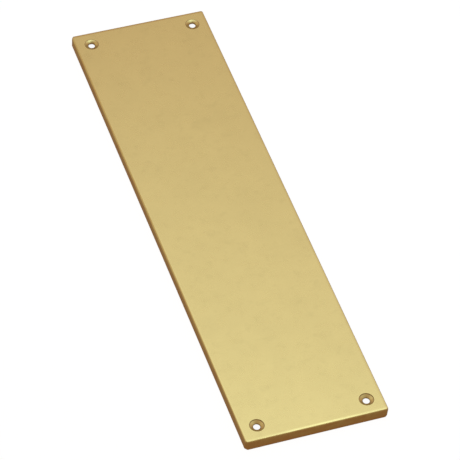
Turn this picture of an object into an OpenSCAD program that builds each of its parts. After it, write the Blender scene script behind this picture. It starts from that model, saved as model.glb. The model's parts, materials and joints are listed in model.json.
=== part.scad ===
/* [Plate] */
// Width of the plate, across its long sides
plate_w = 76.2; // [60:0.1:120]
// Length of the plate, between its short ends
plate_l = 292.1; // [150:0.1:400]
// Height of the sides, from the wall to the front face
plate_h = 7; // [5:0.1:10]
// Radius of the four upright corners
corner_r = 1.8; // [1.4:0.1:4]
// Rounding of the polished edge around the front face
front_edge_r = 0.4; // [0.1:0.05:0.7]
// Rounding of the edge that lies against the wall
back_edge_r = 1.2; // [0.2:0.05:1.3]

/* [Hollow back] */
// Thickness of the front skin
skin_t = 1.9; // [1.8:0.1:2.8]
// Width of the rim that rests on the wall
rim_w = 2.4; // [2.2:0.1:4]
// Radius of the hollow's upright corners
hollow_corner_r = 2; // [1.6:0.1:4]
// Radius between the hollow's sides and its flat bottom
hollow_root_r = 1; // [0.4:0.1:1.2]

/* [Screw holes] */
// Distance from each hole's centre to the nearest long side
hole_inset_x = 8.9; // [8:0.1:14]
// Distance from each hole's centre to the nearest end
hole_inset_y = 8.9; // [8:0.1:14]
// Diameter of the hole that clears the screw's shank
hole_d = 3.6; // [3.4:0.1:4.2]
// Diameter of the countersink in the front face
sink_d = 7.8; // [7:0.1:8]
// Depth of the short straight wall between the front face and the cone
sink_step = 0.25; // [0.1:0.05:0.3]
// Full angle of the cone, which is that of a split-point drill
sink_angle = 135; // [130:1:140]

/* [Hidden] */
$fn = 64;

// How far a cutter runs past the surface that it opens
CUT_PAST = 1;
BRASS = [0.80, 0.68, 0.38];

// Depth of the countersink, from the front face down to the straight hole
sink_depth = sink_step + (sink_d - hole_d) / 2 / tan(sink_angle / 2);

hole_x = plate_w / 2 - hole_inset_x;
hole_y = plate_l / 2 - hole_inset_y;
hollow_w = plate_w - 2 * rim_w;
hollow_l = plate_l - 2 * rim_w;
hollow_h = plate_h - skin_t;

// Outline of a block's side, from x = 0 out to x = depth, with rounded outer corners.
module side_outline(depth, h, top_r, bottom_r) {
    difference() {
        square([depth, h]);
        if (top_r > 0) translate([depth - top_r, h - top_r])
            corner_waste(top_r);
        if (bottom_r > 0) translate([depth - bottom_r, bottom_r]) mirror([0, 1])
            corner_waste(bottom_r);
    }
}

// What a quarter circle of radius r leaves over of the square around it.
module corner_waste(r) {
    difference() {
        square(r + CUT_PAST);
        circle(r);
    }
}

// Rectangular block on z = 0 with upright corners of radius r and rounded top and bottom edges.
module soft_block(w, l, h, r, top_r, bottom_r) {
    core_w = w - 2 * r;
    core_l = l - 2 * r;
    translate([-core_w / 2, -core_l / 2, 0])
        cube([core_w, core_l, h]);
    for (side = [0, 180]) {
        rotate(side) translate([core_w / 2, core_l / 2, 0]) rotate([90, 0, 0])
            linear_extrude(core_l) side_outline(r, h, top_r, bottom_r);
        rotate(side + 90) translate([core_l / 2, core_w / 2, 0]) rotate([90, 0, 0])
            linear_extrude(core_w) side_outline(r, h, top_r, bottom_r);
    }
    for (sx = [0, 1], sy = [0, 1])
        mirror([sx, 0, 0]) mirror([0, sy, 0]) translate([core_w / 2, core_l / 2, 0])
            rotate_extrude(angle = 90) side_outline(r, h, top_r, bottom_r);
}

// Cutter for one screw hole, with the front face at z = 0: shank hole, cone and short straight wall.
module screw_hole() {
    rotate_extrude() polygon([
        [0, CUT_PAST],
        [0, -plate_h],
        [hole_d / 2, -plate_h],
        [hole_d / 2, -sink_depth],
        [sink_d / 2, -sink_step],
        [sink_d / 2, CUT_PAST]
    ]);
}

module plate() {
    color(BRASS) difference() {
        soft_block(plate_w, plate_l, plate_h, corner_r, front_edge_r, back_edge_r);
        translate([0, 0, -CUT_PAST])
            soft_block(hollow_w, hollow_l, hollow_h + CUT_PAST, hollow_corner_r, hollow_root_r, 0);
        for (sx = [-1, 1], sy = [-1, 1])
            translate([sx * hole_x, sy * hole_y, plate_h]) screw_hole();
    }
}

plate();
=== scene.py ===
"""Satin polished cast brass kick plate, lying face up on a plain white floor."""

import json
import math

import bpy
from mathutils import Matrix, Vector


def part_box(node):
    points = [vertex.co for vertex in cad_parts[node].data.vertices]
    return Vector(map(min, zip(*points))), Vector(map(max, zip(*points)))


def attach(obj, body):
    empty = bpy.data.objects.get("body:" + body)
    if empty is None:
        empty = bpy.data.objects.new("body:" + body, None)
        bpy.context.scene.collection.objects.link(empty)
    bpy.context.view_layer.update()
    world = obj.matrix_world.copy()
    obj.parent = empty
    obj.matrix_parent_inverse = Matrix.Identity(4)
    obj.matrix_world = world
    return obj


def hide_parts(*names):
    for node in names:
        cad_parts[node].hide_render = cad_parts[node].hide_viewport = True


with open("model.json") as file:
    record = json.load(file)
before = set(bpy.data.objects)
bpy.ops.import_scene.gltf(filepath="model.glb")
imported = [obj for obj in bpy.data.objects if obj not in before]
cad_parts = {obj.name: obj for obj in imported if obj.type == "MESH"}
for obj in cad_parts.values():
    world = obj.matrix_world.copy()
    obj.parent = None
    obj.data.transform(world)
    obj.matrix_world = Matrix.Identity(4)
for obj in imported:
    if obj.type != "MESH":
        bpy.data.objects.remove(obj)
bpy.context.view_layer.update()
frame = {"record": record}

MM = 0.001

# The plate's size and its screw holes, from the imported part. The countersinks' radius, the skin's
# thickness and the rim's width are those of the part's source.
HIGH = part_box("plate")[1]
HALF_W = HIGH.x
HALF_L = HIGH.y
HEIGHT = HIGH.z
SCREWS = next(m for m in frame["record"]["mounts"] if m["name"] == "screw_holes")
HOLE_X = SCREWS["dims"]["spacing_x_mm"] * MM / 2
HOLE_Y = SCREWS["dims"]["spacing_y_mm"] * MM / 2
HOLE_R = SCREWS["dims"]["hole_r_mm"] * MM
SINK_R = 3.9 * MM
SKIN = 1.9 * MM
RIM = 2.4 * MM
CEILING = HEIGHT - SKIN

# Radii of the upright corners, which are rounder at the foot than at the top, and of the hollow's
# corners and root.
CORNER_R = 1.8 * MM
CORNER_TOP_SHARE = 0.7
HOLLOW_CORNER_R = 2 * MM
ROOT_R = 1 * MM

# Cells of the mesh: around a quarter of a hole, around a corner, between a hole's block and the face's
# border, and between the holes across and along the plate.
HOLE_CELLS = 14
CORNER_CELLS = 10
MARGIN_CELLS = 2
MIDDLE_CELLS_X = 20
MIDDLE_CELLS_Y = 96

# The order of the plate's materials.
LOOKS = ["face", "side", "sink", "rim", "cast"]

# Points closer than this are one point, and a distance below the other value is none.
SAME_POINT = 0.0001 * MM
NO_DISTANCE = 0.000001 * MM


class Skin:
    """The points, normals and faces of one closed surface. Two points in one place are one point."""

    def __init__(self):
        self.places = []
        self.normals = []
        self.faces = []
        self.looks = []
        self.known = {}

    def point(self, x, y, z, normal):
        key = tuple(round(v / SAME_POINT) for v in (x, y, z))
        if key not in self.known:
            self.known[key] = len(self.places)
            self.places.append(Vector((x, y, z)))
            self.normals.append(Vector(normal).normalized())
        return self.known[key]

    def face(self, corners, look):
        distinct = [c for i, c in enumerate(corners) if c != corners[i - 1]]
        if len(set(distinct)) > 2:
            self.faces.append(distinct)
            self.looks.append(LOOKS.index(look))

    def bridge(self, loop, next_loop, look):
        for i in range(len(loop)):
            self.face([loop[i - 1], next_loop[i - 1], next_loop[i], loop[i]], look)

    def sweep(self, stations, profile, looks, roundness=lambda z: 1):
        """Sets a profile of rows (out, z, normal out, normal z) at each station and joins them up.

        Returns the loops of points that the first and the last row make."""
        lines = []
        for (x, y), (dx, dy) in stations:
            line = []
            for out, z, normal_out, normal_z in profile(x, y, dx, dy):
                reach, (nx, ny) = corner_reach(dx, dy, out, out * roundness(z))
                normal = (nx * normal_out, ny * normal_out, normal_z)
                line.append(self.point(x + dx * reach, y + dy * reach, z, normal))
            lines.append(line)
        loops = list(zip(*lines))
        for loop, next_loop, look in zip(loops, loops[1:], looks):
            self.bridge(loop, next_loop, look)
        return loops[0], loops[-1]

    def sheet(self, xs, ys, z, up, look):
        """A flat grid that leaves out the blocks of cells around the screw holes."""
        blocked_x = block_cells(len(xs))
        blocked_y = block_cells(len(ys))
        for i in range(len(xs) - 1):
            for j in range(len(ys) - 1):
                if i in blocked_x and j in blocked_y:
                    continue
                corners = [(i, j), (i + 1, j), (i + 1, j + 1), (i, j + 1)]
                ids = [self.point(xs[a], ys[b], z, (0, 0, up)) for a, b in corners]
                self.face(ids if up > 0 else ids[::-1], look)


def corner_reach(dx, dy, out, radius):
    """How far the way (dx, dy) goes to a rounded corner's outline, and the outline's normal there.

    The corner's two sides lie at the distance out, and it is rounded to the radius."""
    if out < NO_DISTANCE:
        return 0, (dx, dy)
    a, b = abs(dx), abs(dy)
    flat = out - radius
    if b * out <= flat * a:
        return out / a, (math.copysign(1, dx), 0)
    if a * out <= flat * b:
        return out / b, (0, math.copysign(1, dy))
    along = flat * (a + b)
    reach = along + math.sqrt(along ** 2 - 2 * flat ** 2 + radius ** 2)
    turn = ((reach * a - flat) / radius, (reach * b - flat) / radius)
    return reach, (math.copysign(turn[0], dx), math.copysign(turn[1], dy))


def block_cells(count):
    """Which cells of a row of grid lines lie in a screw hole's block."""
    low = range(MARGIN_CELLS, MARGIN_CELLS + HOLE_CELLS)
    high = range(count - 1 - MARGIN_CELLS - HOLE_CELLS, count - 1 - MARGIN_CELLS)
    return set(low) | set(high)


def spread(start, end, cells):
    return [start + (end - start) * i / cells for i in range(cells)]


def grid_lines(reach, hole, block, middle_cells):
    """Lines from -reach to reach. In a hole's block they stand at equal angles, seen from the hole."""
    turns = [math.tan(math.radians(90 * i / HOLE_CELLS - 45)) for i in range(HOLE_CELLS + 1)]
    left = [-hole + block * t for t in turns]
    right = [hole + block * t for t in turns]
    return (
        spread(-reach, left[0], MARGIN_CELLS)
        + left
        + spread(left[-1], right[0], middle_cells)[1:]
        + right
        + spread(right[-1], reach, MARGIN_CELLS)[1:]
        + [reach]
    )


def perimeter(xs, ys):
    """Stations anticlockwise round a grid: each is a point on its edge and the direction out of it."""
    a, b = xs[-1], ys[-1]
    quarter = [math.pi / 2 * i / CORNER_CELLS for i in range(1, CORNER_CELLS)]

    def corner(x, y, start):
        return [((x, y), (math.cos(start + t), math.sin(start + t))) for t in quarter]

    return (
        [((a, y), (1, 0)) for y in ys]
        + corner(a, b, 0)
        + [((x, b), (0, 1)) for x in reversed(xs)]
        + corner(-a, b, math.pi / 2)
        + [((-a, y), (-1, 0)) for y in reversed(ys)]
        + corner(-a, -b, math.pi)
        + [((x, -b), (0, -1)) for x in xs]
        + corner(a, -b, 3 * math.pi / 2)
    )


def arc(centre_out, centre_z, radius, start, end, steps, facing=1):
    """Rows along an arc, which faces away from its centre when facing is 1 and towards it when -1.

    Angles are of the way from the centre: 0 is straight up and 90 is straight out."""
    rows = []
    for i in range(steps + 1):
        angle = math.radians(start + (end - start) * i / steps)
        out, up = math.sin(angle), math.cos(angle)
        rows.append((centre_out + radius * out, centre_z + radius * up, facing * out, facing * up))
    return rows


# The side as hand finishing leaves it, from the top down: a face that the buff has dipped a little along
# its border, a small front edge, a worn shoulder, an upright wall and a rounded back edge.

# The dip. How steep it gets, in degrees, differs from side to side, and at the front end it has an extra
# part near the middle.
DIP_LENGTH = 1.35 * MM
DIP_STEPS = 8
LEFT_DIP = 3
RIGHT_DIP = 7
FAR_DIP = 9
NEAR_DIP = 3
MIDDLE_DIP = 9
MIDDLE_DIP_AT = 5 * MM
MIDDLE_DIP_REACH = 25 * MM

FRONT_EDGE_R = 0.35 * MM
FRONT_STEPS = 8

# The shoulder. It starts as steep as SHOULDER_ANGLE, in degrees. On the left side it wears softer from
# SOFT_FROM, near the front end, and is at SOFT_ANGLE from SOFT_TO to the far end.
SHOULDER_ANGLE = 72
SOFT_ANGLE = 60
SOFT_FROM = -110 * MM
SOFT_TO = -20 * MM
SHOULDER_LENGTH = 1.4 * MM
SHOULDER_STEPS = 4

# The wall and the back edge, which is rounder at the corners. Angles are in degrees.
WALL_ANGLE = 90
UNDERSIDE_ANGLE = 180
BACK_EDGE_R = 1.2 * MM
CORNER_BACK_R = 1.65 * MM
BACK_STEPS = 8


def follow(rows, length, start, end, steps, way=1):
    """Adds rows to a profile whose normal turns from start to end degrees over a length of it.

    The profile runs downhill, outwards when way is 1 and inwards when way is -1."""
    out, z = rows[-1][:2]
    step = length / steps
    for i in range(steps):
        middle = math.radians(start + (end - start) * (i + 0.5) / steps)
        out += way * step * math.cos(middle)
        z -= step * math.sin(middle)
        angle = math.radians(start + (end - start) * (i + 1) / steps)
        rows.append((out, z, way * math.sin(angle), math.cos(angle)))


def dip_angle(x, dx, dy):
    """How steep the dip gets at a station at x that faces (dx, dy)."""
    side_dip = RIGHT_DIP if dx > 0 else LEFT_DIP
    middle = math.exp(-((x - MIDDLE_DIP_AT) / MIDDLE_DIP_REACH) ** 2)
    end_dip = FAR_DIP if dy > 0 else NEAR_DIP + MIDDLE_DIP * middle
    return side_dip * dx ** 2 + end_dip * dy ** 2


def shoulder_angle(y, dx):
    """How steep the shoulder starts at a station at y that faces left when dx is below 0."""
    if dx >= 0:
        return SHOULDER_ANGLE
    softness = min(max((y - SOFT_FROM) / (SOFT_TO - SOFT_FROM), 0), 1)
    return SHOULDER_ANGLE + (SOFT_ANGLE - SHOULDER_ANGLE) * softness * dx ** 2


def fitted(rows):
    """Moves a side's rows so that the widest is at the plate's side and the lowest is at z = 0.

    Rows that would then lie inside the flat face are put on the face's border."""
    widest = max(row[0] for row in rows)
    drop = rows[-1][1]
    moved = [
        (out - widest + CORNER_R, z - drop * (HEIGHT - z) / HEIGHT, normal_out, normal_z)
        for out, z, normal_out, normal_z in rows
    ]
    return [row if row[0] > 0 else (0, HEIGHT, 0, 1) for row in moved]


def side_rows(x, y, dx, dy):
    """Profile of the plate's outer side, from the flat front face to the flat rim."""
    dip = dip_angle(x, dx, dy)
    shoulder = shoulder_angle(y, dx)
    at_corner = (2 * dx * dy) ** 2
    back_r = BACK_EDGE_R + (CORNER_BACK_R - BACK_EDGE_R) * at_corner
    rows = [(0, HEIGHT, 0, 1)]
    follow(rows, DIP_LENGTH, 0, dip, DIP_STEPS)
    follow(rows, FRONT_EDGE_R * math.radians(shoulder - dip), dip, shoulder, FRONT_STEPS)
    follow(rows, SHOULDER_LENGTH, shoulder, WALL_ANGLE, SHOULDER_STEPS)
    follow(rows, rows[-1][1] - back_r, WALL_ANGLE, WALL_ANGLE, 1)
    back_length = back_r * math.radians(UNDERSIDE_ANGLE - WALL_ANGLE)
    follow(rows, back_length, WALL_ANGLE, UNDERSIDE_ANGLE, BACK_STEPS)
    return [(0, HEIGHT, 0, 1)] + fitted(rows) + [(0, 0, 0, -1)]


def side_roundness(z):
    """The share of a side's reach that its corner's radius takes at a height."""
    return 1 - (1 - CORNER_TOP_SHARE) * z / HEIGHT


# The hollow: a small round at the rim's inner edge, of which the outer half is rubbed like the rim, and
# the round at its root.
RIM_EDGE_R = 0.3 * MM
RIM_EDGE_STEPS = 4
RUBBED_STEPS = 2
ROOT_STEPS = 8


def hollow_rows(x, y, dx, dy):
    """Profile of the hollow, from the flat rim up its wall to its flat bottom."""
    wall = HOLLOW_CORNER_R
    rim_edge = arc(wall + RIM_EDGE_R, RIM_EDGE_R, RIM_EDGE_R, 180, 270, RIM_EDGE_STEPS)
    root = arc(wall - ROOT_R, CEILING - ROOT_R, ROOT_R, 90, 0, ROOT_STEPS, facing=-1)
    return rim_edge + root + [(0, CEILING, 0, -1)]


# The countersinks: the two at the front end have a crisp edge and a straight step, and are a quarter of a
# millimetre deeper than the part's. The two at the far end are worn into bowls with soft lips, and are
# about as deep as the part's. The angles, in degrees, are the cone's slope at its top and at its foot.
SINK_EDGE_R = 0.12 * MM
SINK_EDGE_STEPS = 3
SINK_STEP = 0.2 * MM
STEP_FOOT_STEPS = 2
SINK_ANGLES = (21, 24)
WORN_LIP = 0.45 * MM
WORN_LIP_STEPS = 3
WORN_ANGLES = (20, 38)
CONE_STEPS = 6

# The soft edges between cone and bore, and between bore and hollow.
CREASE_R = 0.25 * MM
CREASE_STEPS = 4
DEBURR_R = 0.45 * MM
DEBURR_STEPS = 3

# Half the width of the square block of cells around each hole, in the face and in the hollow's bottom,
# and the rings of cells that fill it.
TOP_BLOCK = 5.6 * MM
CEILING_BLOCK = 2.9 * MM
FLAT_RINGS = 3


def crisp_edge(rows, cone_angle):
    """Adds a small round edge, a straight step and a small round foot."""
    follow(rows, SINK_EDGE_R * math.pi / 2, 0, 90, SINK_EDGE_STEPS, way=-1)
    follow(rows, SINK_STEP, 90, 90, 1, way=-1)
    follow(rows, SINK_EDGE_R, 90, cone_angle, STEP_FOOT_STEPS, way=-1)


def mean_cosine(start, end):
    """Mean cosine of the angles from start to end, in degrees."""
    start, end = math.radians(start), math.radians(end)
    return (math.sin(end) - math.sin(start)) / (end - start)


def hole_rows(x, y, dx, dy):
    """Profile of a screw hole, from the flat face down its countersink and bore to the hollow."""
    rows = [(SINK_R, HEIGHT, 0, 1)]
    start, end = SINK_ANGLES if y < 0 else WORN_ANGLES
    if y < 0:
        crisp_edge(rows, start)
    else:
        follow(rows, WORN_LIP, 0, start, WORN_LIP_STEPS, way=-1)
    crease_across = CREASE_R * (1 - math.sin(math.radians(end)))
    cone_across = rows[-1][0] - HOLE_R - crease_across
    follow(rows, cone_across / mean_cosine(start, end), start, end, CONE_STEPS, way=-1)
    follow(rows, CREASE_R * math.radians(90 - end), end, 90, CREASE_STEPS, way=-1)
    return rows + arc(HOLE_R + DEBURR_R, CEILING + DEBURR_R, DEBURR_R, 270, 180, DEBURR_STEPS)


def hole_stations(x, y):
    """Stations clockwise round a hole, so that the surface between them faces its axis."""
    count = 4 * HOLE_CELLS
    angles = [-math.pi / 4 - 2 * math.pi * i / count for i in range(count)]
    return [((x, y), (math.cos(t), math.sin(t))) for t in angles]


def square_ring(skin, stations, block, z, up):
    """The corner points of the cells that border a hole's block."""
    ring = []
    for (x, y), (dx, dy) in stations:
        reach = block / max(abs(dx), abs(dy))
        ring.append(skin.point(x + dx * reach, y + dy * reach, z, (0, 0, up)))
    return ring


def blend_rings(skin, start, end, z, up, look):
    """Bridges two loops in one flat plane with rings between them."""
    loops = [start]
    for k in range(1, FLAT_RINGS):
        share = k / FLAT_RINGS
        ring = []
        for a, b in zip(start, end):
            place = skin.places[a].lerp(skin.places[b], share)
            ring.append(skin.point(place.x, place.y, z, (0, 0, up)))
        loops.append(ring)
    loops.append(end)
    for loop, next_loop in zip(loops, loops[1:]):
        skin.bridge(loop, next_loop, look)


def screw_hole(skin, x, y):
    stations = hole_stations(x, y)
    looks = ["sink"] * (len(hole_rows(x, y, 0, 0)) - 1)
    top, bottom = skin.sweep(stations, hole_rows, looks)
    top_square = square_ring(skin, stations, TOP_BLOCK, HEIGHT, 1)
    blend_rings(skin, top_square, top, HEIGHT, 1, "face")
    ceiling_square = square_ring(skin, stations, CEILING_BLOCK, CEILING, -1)
    blend_rings(skin, bottom, ceiling_square, CEILING, -1, "cast")


def plate_skin():
    skin = Skin()
    top_x = grid_lines(HALF_W - CORNER_R, HOLE_X, TOP_BLOCK, MIDDLE_CELLS_X)
    top_y = grid_lines(HALF_L - CORNER_R, HOLE_Y, TOP_BLOCK, MIDDLE_CELLS_Y)
    hollow_inset = RIM + HOLLOW_CORNER_R
    hollow_x = grid_lines(HALF_W - hollow_inset, HOLE_X, CEILING_BLOCK, MIDDLE_CELLS_X)
    hollow_y = grid_lines(HALF_L - hollow_inset, HOLE_Y, CEILING_BLOCK, MIDDLE_CELLS_Y)

    skin.sheet(top_x, top_y, HEIGHT, 1, "face")
    front_looks = ["face"] * (1 + DIP_STEPS + FRONT_STEPS)
    side_looks = ["side"] * (SHOULDER_STEPS + 1 + BACK_STEPS)
    looks = front_looks + side_looks + ["rim"]
    _, rim_loop = skin.sweep(perimeter(top_x, top_y), side_rows, looks, side_roundness)
    cast_bands = len(hollow_rows(0, 0, 0, 0)) - 1 - RUBBED_STEPS
    hollow_looks = ["rim"] * RUBBED_STEPS + ["cast"] * cast_bands
    edge_loop, _ = skin.sweep(perimeter(hollow_x, hollow_y), hollow_rows, hollow_looks)
    skin.bridge(rim_loop, edge_loop, "rim")
    skin.sheet(hollow_x, hollow_y, CEILING, -1, "cast")
    for x in (-HOLE_X, HOLE_X):
        for y in (-HOLE_Y, HOLE_Y):
            screw_hole(skin, x, y)
    return skin


def build_plate():
    skin = plate_skin()
    mesh = bpy.data.meshes.new("kick_plate")
    mesh.from_pydata(skin.places, [], skin.faces)
    mesh.polygons.foreach_set("material_index", skin.looks)
    mesh.polygons.foreach_set("use_smooth", [True] * len(mesh.polygons))
    mesh.normals_split_custom_set_from_vertices(skin.normals)
    mesh.validate()
    plate = bpy.data.objects.new("kick_plate", mesh)
    bpy.context.scene.collection.objects.link(plate)
    return plate


def add(tree, kind, inputs=None, **settings):
    """A new node. A value in inputs that is a socket is linked, and any other value is set."""
    made = tree.nodes.new(kind)
    for name, value in settings.items():
        setattr(made, name, value)
    for name, value in (inputs or {}).items():
        if isinstance(value, bpy.types.NodeSocket):
            tree.links.new(value, made.inputs[name])
        else:
            made.inputs[name].default_value = value
    return made


def ramp(tree, value, dark, bright):
    """0 at dark and 1 at bright, with a soft change in between."""
    return add(tree, "ShaderNodeMapRange", {
        "Value": value,
        "From Min": dark,
        "From Max": bright,
    }, interpolation_type="SMOOTHSTEP").outputs[0]


def number(tree, operation, a, b):
    """The result of one step of arithmetic."""
    return add(tree, "ShaderNodeMath", {0: a, 1: b}, operation=operation).outputs[0]


def vector(tree, operation, *values, output="Vector"):
    """The result of one step of vector arithmetic."""
    inputs = dict(enumerate(values))
    return add(tree, "ShaderNodeVectorMath", inputs, operation=operation).outputs[output]


def product(tree, values):
    result = values[0]
    for value in values[1:]:
        result = number(tree, "MULTIPLY", result, value)
    return result


def mixed(tree, share, a, b):
    return add(tree, "ShaderNodeMix", {0: share, 6: a, 7: b}, data_type="RGBA").outputs[2]


POLISHED = (0.87, 0.715, 0.30)
TURNED = (0.84, 0.68, 0.28)
# The dark of the countersinks' residue and of the painted shade in their crease and under their edge.
RESIDUE_AND_SHADE = (0.40, 0.28, 0.12)
CAST = (0.66, 0.48, 0.21)
# Tarnish for the sides' redder blots, which also colours the painted shade at their foot.
TARNISH_AND_SHADE = (0.78, 0.50, 0.19)

# Painted shade on the foot of the sides, darker towards the floor: the heights where it starts and where
# it is full, and how strong it is.
PAINTED_FOOT_SHADE_HEIGHTS = (4.5 * MM, 0.8 * MM)
PAINTED_FOOT_SHADE = 0.65

# Residue and painted shade in the countersinks, darker in the crease at the foot and under the edge. At
# the foot: how far from the bore it starts and how strong it is. Under
# the edge: how far in from the edge it starts and where it is full.
FOOT_RESIDUE_AND_SHADE_WIDTH = 0.7 * MM
FOOT_RESIDUE_AND_SHADE = 0.75
EDGE_RESIDUE_AND_SHADE = (0.45 * MM, 0.1 * MM)

# The width of the rings that the countersinking tool left.
TURNED_RINGS = 0.22 * MM


def brass(name, colour, roughness):
    """A metal of one colour. Returns it with its node tree and its shader."""
    material = bpy.data.materials.new(name)
    material.use_nodes = True
    shader = material.node_tree.nodes["Principled BSDF"]
    shader.inputs["Base Color"].default_value = (*colour, 1)
    shader.inputs["Metallic"].default_value = 1
    shader.inputs["Roughness"].default_value = roughness
    return material, material.node_tree, shader


def grain(tree, size, stretch=(1, 1, 1), detail=2.0, roughness=0.5, seed=0.0):
    """Noise about 0.5. Its blots are about size across, in metres, times stretch along the axes."""
    place = add(tree, "ShaderNodeTexCoord").outputs["Object"]
    scaled = vector(tree, "MULTIPLY", place, tuple(1 / (size * s) for s in stretch))
    moved = vector(tree, "ADD", scaled, (seed, seed, seed))
    return add(tree, "ShaderNodeTexNoise", {
        "Vector": moved,
        "Scale": 1.0,
        "Detail": detail,
        "Roughness": roughness,
    }).outputs[0]


def spread_out(tree, value, low, high, start=0.3, end=0.7):
    """Maps noise from start..end to low..high."""
    return add(tree, "ShaderNodeMapRange", {
        "Value": value,
        "From Min": start,
        "From Max": end,
        "To Min": low,
        "To Max": high,
    }).outputs[0]


def scaled_colour(colour, factor):
    return (*(min(c * factor, 1) for c in colour), 1)


def shaded(tree, share, colour, dark, bright):
    """The colour times dark where share is 0, and times bright where it is 1."""
    return mixed(tree, share, scaled_colour(colour, dark), scaled_colour(colour, bright))


def bump(tree, shader, layers):
    """Stacks layers of (height, depth of relief in metres) as bumps."""
    normal = None
    for height, depth in layers:
        inputs = {"Height": height, "Strength": 1.0, "Distance": depth}
        if normal is not None:
            inputs["Normal"] = normal
        normal = add(tree, "ShaderNodeBump", inputs).outputs[0]
    tree.links.new(normal, shader.inputs["Normal"])


def face_brass():
    """Satin polish: faint clouds, small dull specks, and hairlines along the plate."""
    material, tree, shader = brass("brass_face", POLISHED, roughness=0.26)
    clouds = grain(tree, size=14 * MM, detail=3, seed=3.1)
    colour = shaded(tree, clouds, POLISHED, dark=0.955, bright=1.045)
    specks = grain(tree, size=4 * MM, detail=1, seed=11.7)
    dull = spread_out(tree, specks, low=0, high=0.4, start=0.56, end=0.76)
    colour = mixed(tree, dull, colour, scaled_colour(POLISHED, 0.9))
    tree.links.new(colour, shader.inputs["Base Color"])
    rubbing = grain(tree, size=5 * MM, detail=3, seed=5.3)
    rough = spread_out(tree, rubbing, low=0.235, high=0.285)
    tree.links.new(rough, shader.inputs["Roughness"])
    hairlines = grain(tree, size=0.25 * MM, stretch=(1, 40, 1), detail=1, seed=1.9)
    ripple = grain(tree, size=9 * MM, detail=1, seed=7.7)
    bump(tree, shader, [(ripple, 0.006 * MM), (hairlines, 0.0008 * MM)])
    return material


def side_brass():
    """Linished sides: fine lines round the plate, redder blots, and painted shade that darkens them
    towards their foot.
    """
    material, tree, shader = brass("brass_side", POLISHED, roughness=0.33)
    streaks = grain(tree, size=2.2 * MM, stretch=(1, 1, 3), detail=2, seed=2.3)
    colour = shaded(tree, streaks, POLISHED, dark=0.86, bright=1.08)
    blots = grain(tree, size=7 * MM, stretch=(1, 1, 0.6), detail=3, seed=21.6)
    red = spread_out(tree, blots, low=0, high=0.55, start=0.4, end=0.65)
    colour = mixed(tree, red, colour, (*TARNISH_AND_SHADE, 1))
    place = add(tree, "ShaderNodeTexCoord").outputs["Object"]
    height = add(tree, "ShaderNodeSeparateXYZ", {0: place}).outputs["Z"]
    # Painted shade: the sides darken towards their foot, near the floor.
    foot_shade_share = product(tree, [ramp(tree, height, *PAINTED_FOOT_SHADE_HEIGHTS), PAINTED_FOOT_SHADE])
    colour = mixed(tree, foot_shade_share, colour, (*TARNISH_AND_SHADE, 1))
    tree.links.new(colour, shader.inputs["Base Color"])
    rubbing = grain(tree, size=4 * MM, detail=2, seed=8.1)
    rough = spread_out(tree, rubbing, low=0.29, high=0.37)
    tree.links.new(rough, shader.inputs["Roughness"])
    lines = grain(tree, size=0.2 * MM, stretch=(30, 30, 1), detail=1, seed=4.4)
    bump(tree, shader, [(lines, 0.002 * MM)])
    return material


def from_hole_axis(tree):
    """The distance from the nearest screw hole's axis. The plate's four quarters mirror each other."""
    place = add(tree, "ShaderNodeTexCoord").outputs["Object"]
    quarter = vector(tree, "ABSOLUTE", place)
    from_axis = vector(tree, "SUBTRACT", quarter, (HOLE_X, HOLE_Y, 0))
    flat = vector(tree, "MULTIPLY", from_axis, (1, 1, 0))
    return vector(tree, "LENGTH", flat, output="Value")


def sink_brass():
    """Turned countersinks: rings about each hole's axis, and residue with painted shade at the foot and
    under the edge.
    """
    material, tree, shader = brass("brass_sink", TURNED, roughness=0.30)
    radius = from_hole_axis(tree)
    at_foot = ramp(tree, radius, HOLE_R + FOOT_RESIDUE_AND_SHADE_WIDTH, HOLE_R)
    edge_start, edge_full = (SINK_R - width for width in EDGE_RESIDUE_AND_SHADE)
    at_edge = ramp(tree, radius, edge_start, edge_full)
    # Residue and painted shade: darker at the countersink's foot and under its edge.
    dirt_and_shade = number(tree, "MAXIMUM", product(tree, [at_foot, FOOT_RESIDUE_AND_SHADE]), at_edge)
    colour = mixed(tree, dirt_and_shade, (*TURNED, 1), (*RESIDUE_AND_SHADE, 1))
    tree.links.new(colour, shader.inputs["Base Color"])
    rings = add(tree, "ShaderNodeTexNoise", {
        "Vector": add(tree, "ShaderNodeCombineXYZ", {0: radius}).outputs[0],
        "Scale": 1 / TURNED_RINGS,
        "Detail": 1.0,
    }).outputs[0]
    bump(tree, shader, [(rings, 0.006 * MM)])
    return material


def rim_brass():
    """The rim, rubbed flat on a belt and left dull."""
    material, tree, shader = brass("brass_rim", CAST, roughness=0.42)
    blots = grain(tree, size=6 * MM, detail=3, seed=6.2)
    rubbed = spread_out(tree, blots, low=0, high=1)
    colour = mixed(tree, rubbed, scaled_colour(CAST, 0.85), scaled_colour(POLISHED, 0.9))
    tree.links.new(colour, shader.inputs["Base Color"])
    scratches = grain(tree, size=0.3 * MM, stretch=(25, 1, 1), detail=2, seed=9.5)
    bump(tree, shader, [(scratches, 0.008 * MM)])
    return material


def cast_brass():
    """The hollow as it came from the sand: dull, blotched and grainy."""
    material, tree, shader = brass("brass_cast", CAST, roughness=0.58)
    blots = grain(tree, size=18 * MM, detail=4, seed=12.4)
    colour = shaded(tree, spread_out(tree, blots, low=0, high=1), CAST, dark=0.72, bright=1.1)
    tree.links.new(colour, shader.inputs["Base Color"])
    patches = grain(tree, size=7 * MM, detail=3, seed=10.8)
    rough = spread_out(tree, patches, low=0.5, high=0.68)
    tree.links.new(rough, shader.inputs["Roughness"])
    sand = grain(tree, size=0.7 * MM, detail=4, roughness=0.65, seed=14.9)
    lumps = grain(tree, size=5 * MM, detail=2, seed=15.6)
    bump(tree, shader, [(lumps, 0.12 * MM), (sand, 0.09 * MM)])
    return material


# The room as the plate mirrors it. The parts of a direction to the right, ahead and up run from -1 to 1,
# and values called RISE are in degrees above the horizon instead. Each pair says where a part of the room
# starts and where it is full.

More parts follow.
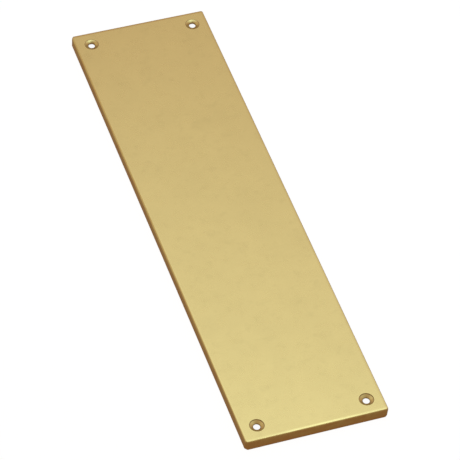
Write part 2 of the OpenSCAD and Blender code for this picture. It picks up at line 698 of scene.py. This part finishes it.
# High up beyond the plate, high up on the camera's side, and low down.
ROOM_BEYOND = (0.48, 0.33, 0.27)
ROOM_FRONT = (0.34, 0.26, 0.19)
ROOM_LOW = (0.255, 0.157, 0.10)
ROOM_RISE = (-50, 20)
ROOM_TURN = (-0.3, 0.3)

# A dark band low down beyond the plate.
ROOM_HORIZON = (0.19, 0.15, 0.12)
HORIZON_RISE = (32, 12)
HORIZON_AHEAD = (0.1, 0.5)

# A paler wall on the left.
ROOM_LEFT = (0.60, 0.50, 0.38)
LEFT_ACROSS = (-0.15, -0.6)
LEFT_UP = (-0.85, -0.15)
LEFT_AHEAD = (0, 0.4)

# A pale wall behind the camera. It fades out again down towards the horizon.
ROOM_BACK = (0.74, 0.66, 0.56)
BACK_RISE = (48, 25)
BACK_AHEAD = (-0.35, -0.75)

# The softbox: how high it hangs, how far it is turned, and along its two axes where it is dark and where
# it is bright.
SOFTBOX_HEIGHT = 0.7
SOFTBOX_TURN = 34
SOFTBOX_FAR = (1.3, -0.13)
SOFTBOX_NEAR = (-0.16, 0.16)
SOFTBOX_LEFT = (-0.48, -0.24)
SOFTBOX_RIGHT = (0.80, 0.12)
SOFTBOX_GLOW = (0.576, 0.834, 0.961)

# The lamp behind the softbox's cloth: its place along the softbox's axes, its reach and its strength.
LAMP_AT = (0.12, 0.19, 0)
LAMP_REACH = 0.225
LAMP_GLOW = 0.8


def rises(angles):
    """The parts upwards of directions at angles above the horizon."""
    return [math.sin(math.radians(angle)) for angle in angles]


def painted(tree, room, ramps, colour):
    """The room with a colour where all the ramps are 1."""
    return mixed(tree, product(tree, ramps), room, (*colour, 1))


def room_colour(tree):
    """The room's colour in each direction."""
    way = add(tree, "ShaderNodeTexCoord").outputs["Generated"]
    across, ahead, up = add(tree, "ShaderNodeSeparateXYZ", {0: way}).outputs
    low, high = rises(ROOM_RISE)
    top = mixed(tree, ramp(tree, ahead, *ROOM_TURN), (*ROOM_FRONT, 1), (*ROOM_BEYOND, 1))
    room = mixed(tree, ramp(tree, up, low, high), (*ROOM_LOW, 1), top)
    horizon = [
        ramp(tree, up, *rises(HORIZON_RISE)),
        ramp(tree, up, low, 0),
        ramp(tree, ahead, *HORIZON_AHEAD),
    ]
    room = painted(tree, room, horizon, ROOM_HORIZON)
    left = [
        ramp(tree, across, *LEFT_ACROSS),
        ramp(tree, up, *LEFT_UP),
        ramp(tree, ahead, *LEFT_AHEAD),
    ]
    room = painted(tree, room, left, ROOM_LEFT)
    fade, full = rises(BACK_RISE)
    back = [
        ramp(tree, ahead, *BACK_AHEAD),
        ramp(tree, up, fade, full),
        ramp(tree, up, 0, full / 2),
    ]
    return painted(tree, room, back, ROOM_BACK)


def light_room():
    """The room's dim light for the plate to mirror. The camera sees plain white."""
    world = bpy.data.worlds.new("room")
    bpy.context.scene.world = world
    world.use_nodes = True
    tree = world.node_tree
    tree.nodes.clear()
    seen = add(tree, "ShaderNodeLightPath").outputs["Is Camera Ray"]
    colour = mixed(tree, seen, room_colour(tree), (1, 1, 1, 1))
    shine = add(tree, "ShaderNodeBackground", {"Color": colour})
    add(tree, "ShaderNodeOutputWorld", {"Surface": shine.outputs[0]})


def flat_card(name, low_x, high_x, low_y, high_y):
    mesh = bpy.data.meshes.new(name)
    corners = [(low_x, low_y, 0), (high_x, low_y, 0), (high_x, high_y, 0), (low_x, high_y, 0)]
    mesh.from_pydata(corners, [], [(0, 1, 2, 3)])
    card = bpy.data.objects.new(name, mesh)
    bpy.context.scene.collection.objects.link(card)
    return card


def softbox_cloth():
    """Cloth that glows most near its lamp and not at all at its edges, and hides nothing behind it."""
    material = bpy.data.materials.new("softbox")
    material.use_nodes = True
    tree = material.node_tree
    tree.nodes.clear()
    place = add(tree, "ShaderNodeTexCoord").outputs["Object"]
    across, ahead, _ = add(tree, "ShaderNodeSeparateXYZ", {0: place}).outputs
    cloth = product(tree, [
        ramp(tree, ahead, *SOFTBOX_FAR),
        ramp(tree, ahead, *SOFTBOX_NEAR),
        ramp(tree, across, *SOFTBOX_LEFT),
        ramp(tree, across, *SOFTBOX_RIGHT),
    ])
    away = vector(tree, "DISTANCE", place, LAMP_AT, output="Value")
    lamp = product(tree, [ramp(tree, away, LAMP_REACH, 0), LAMP_GLOW])
    strength = number(tree, "ADD", cloth, lamp)
    glow = add(tree, "ShaderNodeEmission", {"Color": (*SOFTBOX_GLOW, 1), "Strength": strength})
    clear = add(tree, "ShaderNodeBsdfTransparent")
    both = add(tree, "ShaderNodeAddShader", {0: glow.outputs[0], 1: clear.outputs[0]})
    add(tree, "ShaderNodeOutputMaterial", {"Surface": both.outputs[0]})
    return material


def hang_softbox():
    """A large softbox overhead, which the camera does not see."""
    card = flat_card("softbox", SOFTBOX_LEFT[0], SOFTBOX_RIGHT[0], SOFTBOX_NEAR[0], SOFTBOX_FAR[0])
    card.location = (0, 0, SOFTBOX_HEIGHT)
    card.rotation_euler = (0, 0, math.radians(-SOFTBOX_TURN))
    card.visible_camera = False
    card.visible_shadow = False
    card.data.materials.append(softbox_cloth())


# The floor: half its width, its own glow, and how pale it is.
FLOOR_HALF = 20
FLOOR_GLOW = 0.97
FLOOR_PALE = 0.08


def build_floor():
    """A plain white floor. The plate does not mirror it."""
    floor = flat_card("floor", -FLOOR_HALF, FLOOR_HALF, -FLOOR_HALF, FLOOR_HALF)
    material = bpy.data.materials.new("floor")
    material.use_nodes = True
    shader = material.node_tree.nodes["Principled BSDF"]
    shader.inputs["Base Color"].default_value = (FLOOR_PALE, FLOOR_PALE, FLOOR_PALE, 1)
    shader.inputs["Roughness"].default_value = 1
    shader.inputs["Specular IOR Level"].default_value = 0
    shader.inputs["Emission Color"].default_value = (1, 1, 1, 1)
    shader.inputs["Emission Strength"].default_value = FLOOR_GLOW
    floor.data.materials.append(material)
    floor.visible_glossy = False


# The camera's place, which is 1.25 m above the plate's face, its tilt from straight down, its lean and
# its turn about the upright, in degrees, and its lens.
CAMERA_AT = (-0.428, -1.01725, 1.2471 + HEIGHT)
CAMERA_TURNS = (41.104, -3.509, -19.041)
LENS = 248.0


def place_camera():
    data = bpy.data.cameras.new("camera")
    data.lens = LENS
    data.sensor_width = 36
    data.clip_end = 100
    camera = bpy.data.objects.new("camera", data)
    bpy.context.scene.collection.objects.link(camera)
    camera.location = CAMERA_AT
    camera.rotation_euler = [math.radians(angle) for angle in CAMERA_TURNS]
    bpy.context.scene.camera = camera


place_camera()
light_room()
hang_softbox()
build_floor()
bpy.context.scene.view_settings.view_transform = "Standard"

plate = build_plate()
for material in (face_brass(), side_brass(), sink_brass(), rim_brass(), cast_brass()):
    plate.data.materials.append(material)
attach(plate, "root")
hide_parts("plate")
